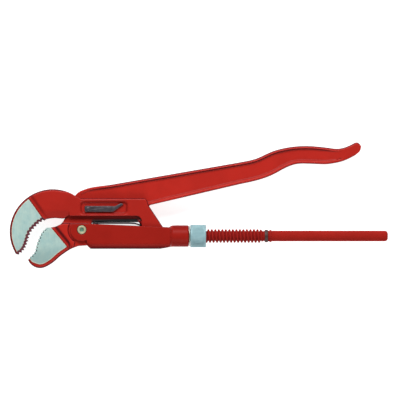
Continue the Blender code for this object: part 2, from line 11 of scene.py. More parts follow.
import bmesh
import bpy
import numpy as np
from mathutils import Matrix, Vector


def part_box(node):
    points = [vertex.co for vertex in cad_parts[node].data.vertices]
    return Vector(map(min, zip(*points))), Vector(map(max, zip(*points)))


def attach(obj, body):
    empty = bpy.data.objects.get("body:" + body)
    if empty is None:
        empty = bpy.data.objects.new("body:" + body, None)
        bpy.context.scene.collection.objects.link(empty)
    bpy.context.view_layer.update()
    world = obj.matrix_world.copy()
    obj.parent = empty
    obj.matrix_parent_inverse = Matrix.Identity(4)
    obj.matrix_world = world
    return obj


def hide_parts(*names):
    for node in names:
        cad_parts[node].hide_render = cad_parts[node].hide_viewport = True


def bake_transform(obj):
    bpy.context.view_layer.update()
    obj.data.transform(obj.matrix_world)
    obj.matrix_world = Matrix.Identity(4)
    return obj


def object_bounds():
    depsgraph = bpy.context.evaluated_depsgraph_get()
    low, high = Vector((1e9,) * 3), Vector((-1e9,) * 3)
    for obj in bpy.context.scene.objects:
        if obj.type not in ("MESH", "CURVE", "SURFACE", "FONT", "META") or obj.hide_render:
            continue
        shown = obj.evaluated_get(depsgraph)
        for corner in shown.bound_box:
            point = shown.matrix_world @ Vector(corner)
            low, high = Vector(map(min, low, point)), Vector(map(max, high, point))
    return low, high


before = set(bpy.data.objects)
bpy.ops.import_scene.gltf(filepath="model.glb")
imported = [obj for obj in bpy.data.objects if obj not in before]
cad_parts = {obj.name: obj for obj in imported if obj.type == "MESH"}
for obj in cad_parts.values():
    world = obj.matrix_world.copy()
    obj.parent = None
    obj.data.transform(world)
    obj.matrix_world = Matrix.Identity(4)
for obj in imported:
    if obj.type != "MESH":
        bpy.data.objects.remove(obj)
cad_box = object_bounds()

MM = 0.001
PIVOT = (0.0, 7.0)


def design_origin():
    """Where the design frame's origin is in the row frame, from the pivot rivet's box."""
    low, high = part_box("pivot_rivet")
    middle = (Vector(low) + Vector(high)) / 2
    return middle - Vector((PIVOT[0], PIVOT[1], 0.0)) * MM


ORIGIN = design_origin()


# Mesh helpers.

def design_points(mesh):
    """The mesh's vertices in the design frame, in millimetres."""
    flat = np.empty(len(mesh.vertices) * 3)
    mesh.vertices.foreach_get("co", flat)
    return (flat.reshape(-1, 3) - np.array(ORIGIN)) / MM


def put_points(mesh, points):
    """Writes points of the design frame back to the mesh."""
    mesh.vertices.foreach_set("co", (points * MM + np.array(ORIGIN)).ravel())
    mesh.update()


def new_piece(name, mesh):
    """A new object in the scene for a mesh."""
    piece = bpy.data.objects.new(name, mesh)
    bpy.context.scene.collection.objects.link(piece)
    return piece


def bake_modifiers(piece):
    """Applies a piece's modifiers to its mesh."""
    graph = bpy.context.evaluated_depsgraph_get()
    made = bpy.data.meshes.new_from_object(piece.evaluated_get(graph))
    piece.modifiers.clear()
    piece.data = made


def edge_pairs(mesh):
    """The two vertex numbers of every edge."""
    flat = np.empty(len(mesh.edges) * 2, dtype=np.int64)
    mesh.edges.foreach_get("vertices", flat)
    return flat.reshape(-1, 2)


def relax(points, pairs, weights, rounds):
    """Moves each point towards the middle of its neighbours, by its weight, several times."""
    count = np.bincount(pairs.ravel(), minlength=len(points)).astype(float)
    for _ in range(rounds):
        total = np.zeros_like(points)
        for k in range(points.shape[1]):
            total[:, k] += np.bincount(pairs[:, 0], points[pairs[:, 1], k], len(points))
            total[:, k] += np.bincount(pairs[:, 1], points[pairs[:, 0], k], len(points))
        middle = total / np.maximum(count, 1.0)[:, None]
        points = points + (middle - points) * weights[:, None]
    return points


def distance_to(points, line):
    """Each point's distance in the XY plane to a line of points."""
    flat = points[:, :2]
    best = np.full(len(points), 1e9)
    for a, b in zip(line, line[1:]):
        a, b = np.array(a), np.array(b)
        along = b - a
        share = np.clip(((flat - a) @ along) / max(along @ along, 1e-12), 0.0, 1.0)
        gap = np.linalg.norm(flat - a - share[:, None] * along, axis=1)
        best = np.minimum(best, gap)
    return best


def left_of(points, a, b):
    """Signed distance to the left of the line from a to b, in the XY plane."""
    along = np.array(b) - np.array(a)
    normal = np.array((-along[1], along[0])) / np.linalg.norm(along)
    return (points[:, :2] - np.array(a)) @ normal


def smoothstep(values, low, high):
    """0 below low, 1 above high, and a soft step between."""
    t = np.clip((values - low) / (high - low), 0.0, 1.0)
    return t * t * (3 - 2 * t)


def band(values, rise_from, rise_to, fall_from, fall_to):
    """1 between the two inner limits, fading to 0 at the two outer ones."""
    return smoothstep(values, rise_from, rise_to) * (1.0 - smoothstep(values, fall_from, fall_to))


def attribute(piece, name, values):
    """Stores a number for each vertex, for the piece's material."""
    made = piece.data.attributes.new(name, "FLOAT", "POINT")
    made.data.foreach_set("value", np.asarray(values, dtype=np.float32))


def convexity(mesh, points, pairs):
    """How much the surface bulges at each vertex: positive on edges, negative in corners."""
    flat = np.empty(len(mesh.vertices) * 3)
    mesh.vertices.foreach_get("normal", flat)
    normals = flat.reshape(-1, 3)
    offset = points[pairs[:, 1]] - points[pairs[:, 0]]
    turn = normals[pairs[:, 1]] - normals[pairs[:, 0]]
    length = np.maximum((offset ** 2).sum(axis=1), 1e-9)
    bend = (turn * offset).sum(axis=1) / length
    total = np.bincount(pairs[:, 0], bend, len(points))
    total += np.bincount(pairs[:, 1], bend, len(points))
    count = np.bincount(pairs.ravel(), minlength=len(points))
    value = (total / np.maximum(count, 1))[:, None]
    return relax(value, pairs, np.full(len(points), 0.6), 3)[:, 0]


def remeshed(node, name, voxel):
    """A fine, even copy of a CAD node's solid."""
    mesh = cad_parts[node].data.copy()
    shape = bmesh.new()
    shape.from_mesh(mesh)
    bmesh.ops.remove_doubles(shape, verts=shape.verts, dist=1e-6)
    shape.to_mesh(mesh)
    shape.free()
    mesh.materials.clear()
    piece = new_piece(name, mesh)
    step = piece.modifiers.new("even", "REMESH")
    step.mode = "VOXEL"
    step.voxel_size = voxel * MM
    step.adaptivity = 0.0
    bake_modifiers(piece)
    return piece


def thinned(piece, triangles):
    """Takes out triangles where the surface is flat, down to about this many."""
    now = sum(len(face.vertices) - 2 for face in piece.data.polygons)
    step = piece.modifiers.new("thin_out", "DECIMATE")
    step.ratio = min(1.0, triangles / now)
    bake_modifiers(piece)


def lower_faces(points, half, depth, inner=0.0):
    """Brings both flat faces towards the middle by a depth, squeezing what is between.

    Only what is thicker than inner moves, so a slot inside keeps its walls.
    """
    z = points[:, 2]
    high = np.abs(z)
    room = np.maximum(half - inner, 1e-6)
    above = np.maximum(high - inner, 0.0)
    moved = np.minimum(high, inner) + above * (1.0 - depth / room)
    points[:, 2] = np.sign(z) * moved


def rim_drop(distance, radius):
    """How far a rounded rim lies under its face, at a distance in from the edge."""
    inward = np.clip(radius - distance, 0.0, radius)
    return radius - np.sqrt(radius ** 2 - inward ** 2)


def rounded_edge(distance, width, depth):
    """Drop of an edge rounded over a width, as deep as depth where it ends."""
    inward = np.clip(1.0 - distance / width, 0.0, 1.0)
    return depth * (1.0 - np.sqrt(1.0 - inward ** 2))


def section(node, height):
    """The outline of a CAD node where a level plane cuts it: a list of line segments."""
    shape = bmesh.new()
    shape.from_mesh(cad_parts[node].data)
    plane = ORIGIN + Vector((0.0, 0.0, height * MM))
    geometry = [*shape.verts, *shape.edges, *shape.faces]
    cut = bmesh.ops.bisect_plane(shape, geom=geometry, dist=1e-7, plane_co=plane,
                                 plane_no=(0.0, 0.0, 1.0))["geom_cut"]
    segments = []
    for part in cut:
        if isinstance(part, bmesh.types.BMEdge):
            ends = [(vertex.co - ORIGIN) / MM for vertex in part.verts]
            segments.append([(end.x, end.y) for end in ends])
    shape.free()
    return segments


def distance_to_segments(points, segments):
    """Each point's distance in the XY plane to the nearest of the segments."""
    best = np.full(len(points), 1e9)
    for segment in segments:
        best = np.minimum(best, distance_to(points, segment))
    return best


# Node helpers for the materials.

class Shader:
    """A material with one Principled shader, and short ways to add nodes to it."""

    def __init__(self, name, **constants):
        self.material = bpy.data.materials.new(name)
        self.material.use_nodes = True
        self.tree = self.material.node_tree
        self.principled = self.tree.nodes["Principled BSDF"]
        for socket, value in constants.items():
            self.principled.inputs[socket.replace("_", " ")].default_value = value

    def add(self, kind, inputs=(), **settings):
        """A new node with its settings and with values or links on its inputs."""
        node = self.tree.nodes.new(kind)
        for key, value in settings.items():
            setattr(node, key, value)
        for key, value in dict(inputs).items():
            self.feed(node.inputs[key], value)
        return node

    def feed(self, socket, value):
        """Links an output to an input, or sets the input to a constant."""
        if isinstance(value, bpy.types.NodeSocket):
            self.tree.links.new(value, socket)
        else:
            socket.default_value = value

    def set(self, socket, value):
        """Feeds one of the Principled shader's inputs."""
        self.feed(self.principled.inputs[socket], value)

    def place(self, stretch=(1.0, 1.0, 1.0), turn=0.0):
        """The point in the object's own frame, in millimetres, scaled and turned about Z."""
        where = self.add("ShaderNodeTexCoord").outputs["Object"]
        scale = tuple(s / MM for s in stretch)
        return self.add("ShaderNodeMapping", {"Vector": where, "Scale": scale,
                                              "Rotation": (0.0, 0.0, turn)}).outputs["Vector"]

    def noise(self, size, detail=2.0, roughness=0.5, stretch=(1.0, 1.0, 1.0), turn=0.0):
        """Soft noise from 0 to 1 whose features are about this many millimetres wide."""
        return self.add("ShaderNodeTexNoise", {
            "Vector": self.place(stretch, turn), "Scale": 1.0 / size, "Detail": detail,
            "Roughness": roughness}).outputs["Fac"]

    def math(self, operation, a, b=0.0, c=0.0):
        """The result of one arithmetic step."""
        made = self.add("ShaderNodeMath", {0: a, 1: b, 2: c}, operation=operation)
        return made.outputs["Value"]

    def ramp(self, value, low, high, out_low=0.0, out_high=1.0, smooth=True):
        """A value taken from one range to another, and held at the ends."""
        return self.add("ShaderNodeMapRange", {
            "Value": value, "From Min": low, "From Max": high, "To Min": out_low,
            "To Max": out_high},
            interpolation_type="SMOOTHSTEP" if smooth else "LINEAR").outputs["Result"]

    def mix(self, share, a, b):
        """Colour a where share is 0, and colour b where it is 1."""
        made = self.add("ShaderNodeMix", data_type="RGBA")
        self.feed(made.inputs[0], share)
        self.feed(made.inputs[6], a if isinstance(a, bpy.types.NodeSocket) else (*a, 1.0))
        self.feed(made.inputs[7], b if isinstance(b, bpy.types.NodeSocket) else (*b, 1.0))
        return made.outputs[2]

    def blend_values(self, share, a, b):
        """Number a where share is 0, and number b where it is 1."""
        made = self.add("ShaderNodeMix", {0: share, 2: a, 3: b}, data_type="FLOAT")
        return made.outputs[0]

    def attribute(self, name):
        """A number that the mesh stores for each vertex."""
        return self.add("ShaderNodeAttribute", attribute_name=name).outputs["Fac"]

    def bump(self, height, depth, strength=1.0, under=None):
        """A bump of this depth in millimetres, on top of another if given."""
        inputs = {"Height": height, "Distance": depth * MM, "Strength": strength}
        if under is not None:
            inputs["Normal"] = under
        return self.add("ShaderNodeBump", inputs).outputs["Normal"]


# Colours, as linear RGB. A colour ending in DEEP is the darker tone mixed into its base.

# After RED come a painted shade, a painted highlight for edges (partly thinner enamel) and a
# painted shade for rims and flanks.
RED = (0.385, 0.0165, 0.0105)
RED_SHADE = (0.24, 0.010, 0.008)
RED_LIT = (0.46, 0.030, 0.022)
RED_RIM_SHADE = (0.050, 0.004, 0.010)
STEEL = (0.43, 0.58, 0.53)
# The next colour is a burr with a painted highlight, along the edges of the ground faces.
STEEL_BURR_AND_HIGHLIGHT = (0.61, 0.645, 0.51)
STEEL_COOL = (0.337, 0.51, 0.493)
ZINC = (0.265, 0.425, 0.455)
ZINC_DEEP = (0.23, 0.385, 0.42)
RING_GREY = (0.058, 0.023, 0.020)
RING_DEEP = (0.042, 0.018, 0.016)
BRIGHT = (0.34, 0.34, 0.25)
BRIGHT_DEEP = (0.22, 0.26, 0.19)
BLUED = (0.10, 0.085, 0.095)
BLUED_DEEP = (0.06, 0.05, 0.06)
# Below: a worn rivet rim with a painted highlight, and painted shade in the rivet's dimple.
RUBBED_SHEEN = (0.50, 0.45, 0.28)
RUBBED_SHEEN_DEEP = (0.38, 0.37, 0.24)
DIMPLE_SHADE = (0.12, 0.23, 0.16)
DIMPLE_SHADE_DEEP = (0.085, 0.20, 0.14)
# Below: painted shade on the teeth, in the gullets and on the inner surfaces between the parts.
MAROON_SHADE = (0.115, 0.042, 0.060)
GULLET_SHADE = (0.12, 0.15, 0.17)
INNER_SHADE = (0.026, 0.034, 0.036)

STEEL_METALLIC = 0.10
# The ground steel gets darker from the second height down to the first, in the part's own frame.
DARKENING_HEIGHTS = (-58.0, -42.0)


def toned(colour, tone):
    """A colour made lighter or darker by a factor."""
    return tuple(channel * tone for channel in colour)


def paint_colour(shader, tone=1.0):
    """Red enamel: faintly uneven, lighter on edges from thinner enamel and a painted highlight,
    with painted shade in corners.
    """
    drift = shader.noise(26.0, 3.0, 0.55)
    base = shader.mix(shader.ramp(drift, 0.35, 0.65), toned(RED, tone), toned(RED, tone * 0.92))
    edge = shader.attribute("edge")
    uneven = shader.noise(2.2, 3.0, 0.6)
    edge_highlight = shader.math("MULTIPLY", edge, shader.ramp(uneven, 0.25, 0.75, 0.6, 1.0))
    # Painted highlight on convex edges, partly thinner enamel.
    base = shader.mix(shader.ramp(edge_highlight, 0.10, 0.55, 0.0, 0.8), base, toned(RED_LIT, tone))
    # Painted shade in hollows and corners.
    corner_shade = shader.ramp(shader.math("MULTIPLY", edge, -1.0), 0.04, 0.35, 0.0, 0.75)
    return shader.mix(corner_shade, base, toned(RED_SHADE, tone))


def paint_bump(shader):
    """Orange peel over the slow waves of the forging."""
    waves = shader.bump(shader.noise(9.0, 2.0), 0.12, 0.5)
    return shader.bump(shader.noise(1.3, 2.0, 0.4), 0.02, 0.6, waves)


def rim_shade_share(shader):
    """How much painted shade darkens the enamel: most on rounded rims, less on upright flanks, 0
    on faces.
    """
    facing = shader.add("ShaderNodeTexCoord").outputs["Normal"]
    upright = shader.add("ShaderNodeSeparateXYZ", {0: facing}).outputs["Z"]
    level = shader.math("ABSOLUTE", upright)
    flank = shader.math("MULTIPLY", shader.ramp(level, 0.42, 0.94, 0.95, 0.0),
                        shader.ramp(level, 0.02, 0.25, 0.3, 1.0))
    closed = shader.math("SUBTRACT", 1.0, shader.attribute("open"))
    return shader.math("MULTIPLY", flank, closed)


def ground_colour(shader, turn):
    """Ground steel: pale, with fine scratches one way and faint cooler clouds."""
    clouds = shader.noise(11.0, 4.0, 0.6)
    scratches = shader.noise(0.35, 3.0, 0.65, (1.0, 0.045, 1.0), turn)
    base = shader.mix(shader.ramp(clouds, 0.34, 0.66), STEEL, STEEL_COOL)
    lines = shader.ramp(scratches, 0.30, 0.72, 0.90, 1.06, False)
    return shader.add("ShaderNodeVectorMath", {0: base, 1: shader.add(
        "ShaderNodeCombineXYZ", {0: lines, 1: lines, 2: lines}).outputs[0]},
        operation="MULTIPLY").outputs[0], scratches


def forged_material(name, turn, tone, shine=0.13, low_darkening=0.0):
    """Enamel over a forging, ground bare in places.

    The mesh says where: "bare" is the distance inside the ground faces, "dark" marks painted
    shade on the inner surfaces between the parts, the teeth's attribute marks painted shade on
    the teeth and in the gullets, and "open" the rims where the painted rim shade is left off, so
    that they stay as bright as the faces.
    """
    shader = Shader(name, IOR=1.5)
    flank = rim_shade_share(shader)
    # Painted shade on rims and flanks, which also lose their gloss.
    red = shader.mix(flank, paint_colour(shader, tone), toned(RED_RIM_SHADE, tone))
    shader.set("Specular IOR Level", shader.blend_values(flank, shine, 0.0))
    steel, scratches = ground_colour(shader, turn)
    height = shader.add("ShaderNodeSeparateXYZ", {0: shader.place()}).outputs["Y"]
    # Ground steel darker towards the lower end.
    steel = shader.mix(shader.ramp(height, *DARKENING_HEIGHTS, low_darkening, 0.0), steel,
                       toned(STEEL_COOL, 0.62))
    inward = shader.attribute("bare")
    # A pale line along the edge of the ground face: a burr and a painted highlight.
    steel = shader.mix(shader.ramp(inward, 0.2, 1.1, 0.8, 0.0), steel, STEEL_BURR_AND_HIGHLIGHT)
    # Painted shade in a thin line on the enamel along the edges of the ground faces.
    red = shader.mix(shader.ramp(inward, -1.3, -0.2, 0.0, 0.7), red, toned(RED_SHADE, 0.55))
    # Painted shade on the hook's teeth and in the lower jaw's gullets.
    tooth_shade = shader.attribute("tooth_shade")
    red = shader.mix(shader.math("MULTIPLY", tooth_shade, 0.8), red, MAROON_SHADE)
    steel = shader.mix(shader.math("MULTIPLY", tooth_shade, 0.85), steel, GULLET_SHADE)
    rag = shader.math("MULTIPLY_ADD", shader.noise(1.1, 3.0, 0.6), 0.5, -0.25)
    bare = shader.ramp(shader.math("ADD", shader.attribute("bare"), rag), -0.05, 0.05)
    # Painted shade on the inner surfaces between the parts.
    dark = shader.ramp(shader.attribute("dark"), 0.15, 0.85)
    colour = shader.mix(bare, shader.mix(dark, red, INNER_SHADE), steel)
    shader.set("Base Color", colour)
    shader.set("Metallic", shader.math("MULTIPLY", bare, STEEL_METALLIC))
    speckle = shader.noise(4.0, 3.0, 0.6)
    gloss = shader.ramp(speckle, 0.3, 0.7, 0.30, 0.40, False)
    matt = shader.ramp(scratches, 0.3, 0.7, 0.50, 0.62, False)
    shader.set("Roughness", shader.blend_values(bare, gloss, matt))
    peel = paint_bump(shader)
    lines = shader.bump(scratches, 0.008, 0.7)
    shader.set("Normal", shader.add("ShaderNodeMix", {0: bare, 4: peel, 5: lines},
                                    data_type="VECTOR").outputs[1])
    return shader.material


def spindle_material():
    """The same enamel on turned bar, as a darker copy, and darker still over the threaded length:
    painted shade for the thread's roots.
    """
    shader = Shader("enamel_on_bar", IOR=1.5, Specular_IOR_Level=0.04)
    # Painted shade over the whole threaded length, for the shade in the thread's roots.
    thread = shader.math("MULTIPLY", shader.attribute("thread"), 0.55)
    shader.set("Base Color", shader.mix(thread, paint_colour(shader, 0.86), RED_SHADE))
    shader.set("Roughness", shader.ramp(shader.noise(4.0, 3.0, 0.6), 0.3, 0.7, 0.60, 0.75, False))
    shader.set("Normal", shader.bump(shader.noise(1.5, 2.0, 0.4), 0.015, 0.6))
    return shader.material


def metal_material(name, light, deep, roughness, cloud=3.0, grain=0.3,
                   stretch=(1.0, 1.0, 1.0), metallic=0.6):
    """A plain metal with clouds of a deeper tone, and fine paler grain."""
    shader = Shader(name, Metallic=metallic)
    clouds = shader.noise(cloud, 4.0, 0.6)
    fine = shader.noise(grain, 3.0, 0.6, stretch)
    base = shader.mix(shader.ramp(clouds, 0.35, 0.65), light, deep)
    base = shader.mix(shader.ramp(fine, 0.45, 0.8, 0.0, 0.35), base,
                      tuple(min(1.0, c * 1.35) for c in light))
    shader.set("Base Color", base)
    shader.set("Roughness", shader.ramp(fine, 0.3, 0.7, roughness - 0.06, roughness + 0.08,
                                        False))
    shader.set("Normal", shader.bump(fine, 0.01, 0.5))
    return shader.material


def rivet_material():
    """Rivet steel: pale on the head's rim, worn by rubbing and with a painted highlight; dark and
    greenish in its dimple, as painted shade.
    """
    shader = Shader("rivet_head_steel", Metallic=0.25, Specular_IOR_Level=0.25)
    grain = shader.ramp(shader.noise(0.7, 3.0, 0.6), 0.3, 0.7)
    # Painted shade in the dimple.
    dimple = shader.mix(grain, DIMPLE_SHADE_DEEP, DIMPLE_SHADE)
    # Pale rim: worn steel with a painted highlight.
    rubbed_sheen = shader.mix(grain, RUBBED_SHEEN, RUBBED_SHEEN_DEEP)
    shader.set("Base Color", shader.mix(shader.attribute("rim"), dimple, rubbed_sheen))
    shader.set("Roughness", shader.blend_values(grain, 0.42, 0.55))
    shader.set("Normal", shader.bump(shader.noise(0.5, 2.0, 0.5), 0.01, 0.6))
    return shader.material


# The forged pieces.

TRIANGLES = 190000
HOOK_VOXEL = 0.38
LEVER_VOXEL = 0.42
SLEEVE_VOXEL = 0.4
BOX_RIM = 1.7
GULLET_DEPTH = 1.4
# How firmly the teeth keep their shape while the forging round them is softened, from 0 to 1.
TOOTH_HOLD = 0.94
# The middle of the hook, and the distances from it that tell its back from its bite.
HOOK_CENTRE = (-33.9, 5.9)
BACK_REACH = 44.0
BITE_REACH = 43.0
# Lines from which the ground faces step up to the thicker necks.
HOOK_GROUND = ((-43.9, 19.7), (-59.3, 41.4))
LOWER_GROUND = ((-17.2, -11.1), (-33.4, 8.3))
# The line under which the lower jaw's underside lies.
LOWER_CHORD = ((-60.2, -25.4), (6.3, -5.0))
# How far the CAD's plain slopes beside the ground faces reach, and the height of the ledge.
HOOK_SLOPE = 6.5
LOWER_SLOPE = 6.4
LEDGE = 0.7
JAW_HALF = 7.5
NECK_HALF = 10.5
LOWER_NECK_HALF = 12.5
LEVER_HALF = 5.5
HANDLE_HALF = 7.0
WEB_HALF = 4.6
FORK_INNER_HALF = 5.8
SLEEVE_HALF = 14.0
CHANNEL_HALF = 11.2
SLEEVE_NOSE = ((5.5, -9.0), (9.6, -14.2))
TUBE_START = 100.0

# Where the box's pocket and slot begin and end: two limits to fade in, two to fade out.
POCKET_ALONG = (-5.0, -2.0, 50.0, 54.0)
POCKET_ACROSS = (23.6, 25.0, 38.6, 40.4)
POCKET_REACH = ((-5.0, 55.0), (24.0, 40.0))
SLOT_ALONG = (6.0, 16.0, 66.0, 72.0)
SLOT_ACROSS = (13.2, 14.2, 17.6, 22.0)
SLOT_FOOT = 11.0
SLOT_TOP = 21.8
SLOT_END = 69.2

# Points along the upper and lower edges of the handle.
HANDLE_TOP = ((-2.6, 49.6), (7.0, 53.2), (15.5, 54.9), (31.2, 56.9), (175.8, 82.0),
              (193.4, 85.9), (212.7, 94.5), (231.2, 98.9), (249.6, 100.2), (268.0, 98.9),
              (284.0, 97.0), (304.1, 104.1))
HANDLE_LOW = ((74.9, 34.1), (175.8, 57.7), (194.3, 61.8), (210.8, 67.5), (227.4, 76.3),
              (240.0, 80.3), (256.0, 80.3), (272.7, 79.9), (303.4, 89.5))
RECESS_END = (262.0, 296.0)


def middle_of(segment):
    """The point halfway along a line segment."""
    (ax, ay), (bx, by) = segment
    return (ax + bx) / 2, (ay + by) / 2


def finish_forging(piece, points, pairs, bare, dark):
    """Puts the shaped points back and stores what the paint needs to know."""
    put_points(piece.data, points)
    attribute(piece, "edge", convexity(piece.data, points, pairs))
    attribute(piece, "bare", bare)
    attribute(piece, "dark", dark)
    thinned(piece, TRIANGLES)
    piece.data.shade_smooth()


def stepped_half(across, full):
    """Half thickness over the step from a ground face up to the neck.

    A narrow ledge follows the edge of the ground face, then a steeper slope.
    """
    ledge = LEDGE * smoothstep(across, 0.0, 0.8)
    slope = (full - JAW_HALF - LEDGE) * smoothstep(across, 2.6, 7.0)
    return JAW_HALF + ledge + slope


def reshape_half(points, before, after):
    """Changes the half thickness of the solid from one value to another at each point."""
    points[:, 2] *= after / before


def near_pocket(points):
    """1 in and around the pocket that holds the guide spring, fading to 0 outside."""
    x, y, z = points.T
    return band(x, *POCKET_ALONG) * band(y, *POCKET_ACROSS) * smoothstep(z, 6.2, 6.9)


def slope_slot_end(points):
    """Draws the rear end of the box's slot forward towards the inside, as a sloping wall."""
    x, y, z = points.T
    foot, slant, furthest, behind = 1.5, 0.68, 8.6, 9.0
    reach = np.clip(foot + (y - SLOT_FOOT) * slant, 0.0, furthest)
    reach *= 1.0 - smoothstep(y, SLOT_TOP, SLOT_TOP + 4.2)
    inward = np.clip((NECK_HALF - np.abs(z)) / (NECK_HALF - FORK_INNER_HALF), 0.0, 1.0)
    near = np.clip(1.0 - (x - SLOT_END) / behind, 0.0, 1.0) * (x > SLOT_END - 2.4)
    points[:, 0] -= reach * inward * near * (np.abs(z) > FORK_INNER_HALF - 0.5)


def pocket_outline():
    """The edge of the guide spring's pocket, as cut segments on the box's front face."""
    (left, right), (low, high) = POCKET_REACH
    return [segment for segment in section("hook_jaw", NECK_HALF - 0.6)
            if left < middle_of(segment)[0] < right and low < middle_of(segment)[1] < high]


def hook_edges():
    """The hook forging's outline: the back of the hook, its toothed bite and the box's edge."""
    back, bite, box = [], [], []
    for segment in section("hook_jaw", JAW_HALF - 0.5):
        x, y = middle_of(segment)
        reach = math.dist((x, y), HOOK_CENTRE)
        if reach > BACK_REACH and x < -1.0:
            back.append(segment)
        elif reach < BITE_REACH and x < -42.0:
            bite.append(segment)
        elif y > 41.0 or x > 69.0 and y > 9.0:
            box.append(segment)
    return back, bite, box


def round_hook(points, across, from_back, from_bite):
    """Steps the hook up to its neck and rounds its rim, softly at the back, less at the teeth."""
    plain_half = JAW_HALF + (NECK_HALF - JAW_HALF) * np.clip(across / HOOK_SLOPE, 0.0, 1.0)
    half = stepped_half(across, NECK_HALF)
    in_jaw = points[:, 0] < -31.8
    reshape_half(points, plain_half, np.where(in_jaw, half, plain_half))
    in_neck = smoothstep(half, JAW_HALF + 0.8, JAW_HALF + 2.8)
    rim = rounded_edge(from_back, 3.0 - 0.7 * in_neck, 3.4 + 0.6 * in_neck)
    slope = 1.6 * np.clip(1.0 - from_bite / 2.0, 0.0, 1.0)
    before_box = 1.0 - smoothstep(points[:, 0], -24.0, -16.0)
    depth = np.maximum(rim, slope * (1.0 - in_neck)) * before_box
    lower_faces(points, half, depth)


def round_box(points, box):
    """Rounds the rims of the box and of the guide spring's pocket in its front plate."""
    half = np.full(len(points), NECK_HALF)
    from_box = distance_to_segments(points, box)
    lower_faces(points, half, rim_drop(from_box, BOX_RIM), FORK_INNER_HALF)
    slope_slot_end(points)
    from_pocket = distance_to_segments(points, pocket_outline())
    front = points[:, 2] > FORK_INNER_HALF
    lower_faces(points, half, rim_drop(from_pocket, BOX_RIM) * front, FORK_INNER_HALF)


def make_hook_jaw():
    """Hook jaw, neck, box and shank in one forging, with the hook's face ground bare."""
    piece = remeshed("hook_jaw", "hook_jaw_forging", HOOK_VOXEL)
    points = design_points(piece.data)
    pairs = edge_pairs(piece.data)
    back, bite, box = hook_edges()
    from_back = distance_to_segments(points, back)
    from_bite = distance_to_segments(points, bite)
    from_bite_line = relax(from_bite[:, None], pairs, np.full(len(points), 0.5), 8)[:, 0]

    weights = 0.5 * (1.0 - TOOTH_HOLD * (1.0 - smoothstep(from_bite, 1.6, 4.0)))
    points = relax(points, pairs, weights, 14)
    across = -left_of(points, *HOOK_GROUND)
    round_hook(points, across, from_back, from_bite)
    round_box(points, box)
    points = relax(points, pairs, weights, 4)
    points = relax(points, pairs, 0.5 * near_pocket(points), 70)

    bare = np.minimum(-across, np.minimum(from_back - 2.4, from_bite - 1.6))
    bare = np.minimum(bare, from_bite_line - 2.0)
    # Painted shade on the inner surfaces of the box, round the lever.
    inside = (np.abs(points[:, 2]) < 6.4) & (points[:, 0] > -31.0) & (points[:, 1] < 41.0)
    # Painted shade along the teeth.
    attribute(piece, "tooth_shade", 1.0 - smoothstep(from_bite, 1.8, 2.8))
    attribute(piece, "open", near_pocket(points + np.array((0.0, 0.0, 1.5))))
    finish_forging(piece, points, pairs, bare, inside.astype(float) * 0.55)
    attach(piece, "hook_leg")
    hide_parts("hook_jaw")
    return piece


def handle_span(x):
    """The heights of the handle's top and bottom edges at some places along it."""
    return tuple(np.interp(x, *zip(*line)) for line in (HANDLE_TOP, HANDLE_LOW))


def split_edges(segments):
    """The handle's upper and lower edges, without the edges of the recess along it."""
    upper, lower = [], []
    for segment in segments:
        x, y = middle_of(segment)
        top, low = handle_span(x)
        if y > top - 1.6:
            upper.append(segment)
        elif y < low + 1.8:
            lower.append(segment)
    return upper, lower


def deepen_web(points):
    """Sinks the web where the lever is thinner, so that its flange stands as high there."""
    x, y, z = points.T
    top, low = handle_span(x)
    inside = 1.0 - smoothstep(y, top - 3.2, top - 2.5)
    inside *= smoothstep(y, low + 2.7, low + 3.5) * smoothstep(x, -4.0, 30.0)
    sink = 1.3 * inside * (1.0 - smoothstep(x, 80.0, 96.0))
    high = np.abs(z)
    points[:, 2] = np.sign(z) * (high - sink * smoothstep(high, 2.0, 4.4))


def in_gullets(points, from_bite, bite):
    """1 where a point lies at the bottom of a gap between two teeth of the lower jaw."""
    samples, reach, aside = 160, 10, 5.0
    chain = np.array(sorted((middle_of(segment) for segment in bite), key=lambda at: at[1]))
    places = np.linspace(0, len(chain) - 1, samples)
    across = np.stack([np.interp(places, range(len(chain)), chain[:, k]) for k in (0, 1)], axis=1)
    window = np.ones(2 * reach + 1) / (2 * reach + 1)
    padded = np.pad(across, ((reach, reach), (0, 0)), mode="edge")
    mean = np.stack([np.convolve(padded[:, k], window, "valid") for k in (0, 1)], axis=1)
    along = np.gradient(mean, axis=0)
    along /= np.linalg.norm(along, axis=1)[:, None]
    inner = mean + aside * np.stack([along[:, 1], -along[:, 0]], axis=1)
    below_mean = aside - distance_to_segments(points, list(zip(inner[::4], inner[4::4])))
    deep = smoothstep(below_mean - from_bite, 0.0, 0.5)
    return deep * (1.0 - smoothstep(from_bite, 0.5, 1.3))


def end_recess(points):
    """Lets the recess along the handle run out softly before the bent tip."""
    high = np.abs(points[:, 2])
    share = smoothstep(points[:, 0], *RECESS_END) * smoothstep(high, 2.0, WEB_HALF)
    high = high + np.maximum(HANDLE_HALF - 0.1 - high, 0.0) * share
    points[:, 2] = np.sign(points[:, 2]) * high


def lower_edges():
    """The lower jaw's outline: the underside of its neck, and its toothed bite."""
    under, bite = [], []
    for segment in section("lower_jaw_lever", JAW_HALF - 0.5):
        x, y = middle_of(segment)
        if x > -8.0:
            continue
        below = left_of(np.array([(x, y)]), *LOWER_CHORD)[0] < 0.0
        if below and (y < -26.0 or x > -50.0):
            under.append(segment)
        elif x < -37.0 and y > -25.2:
            bite.append(segment)
    return under, bite


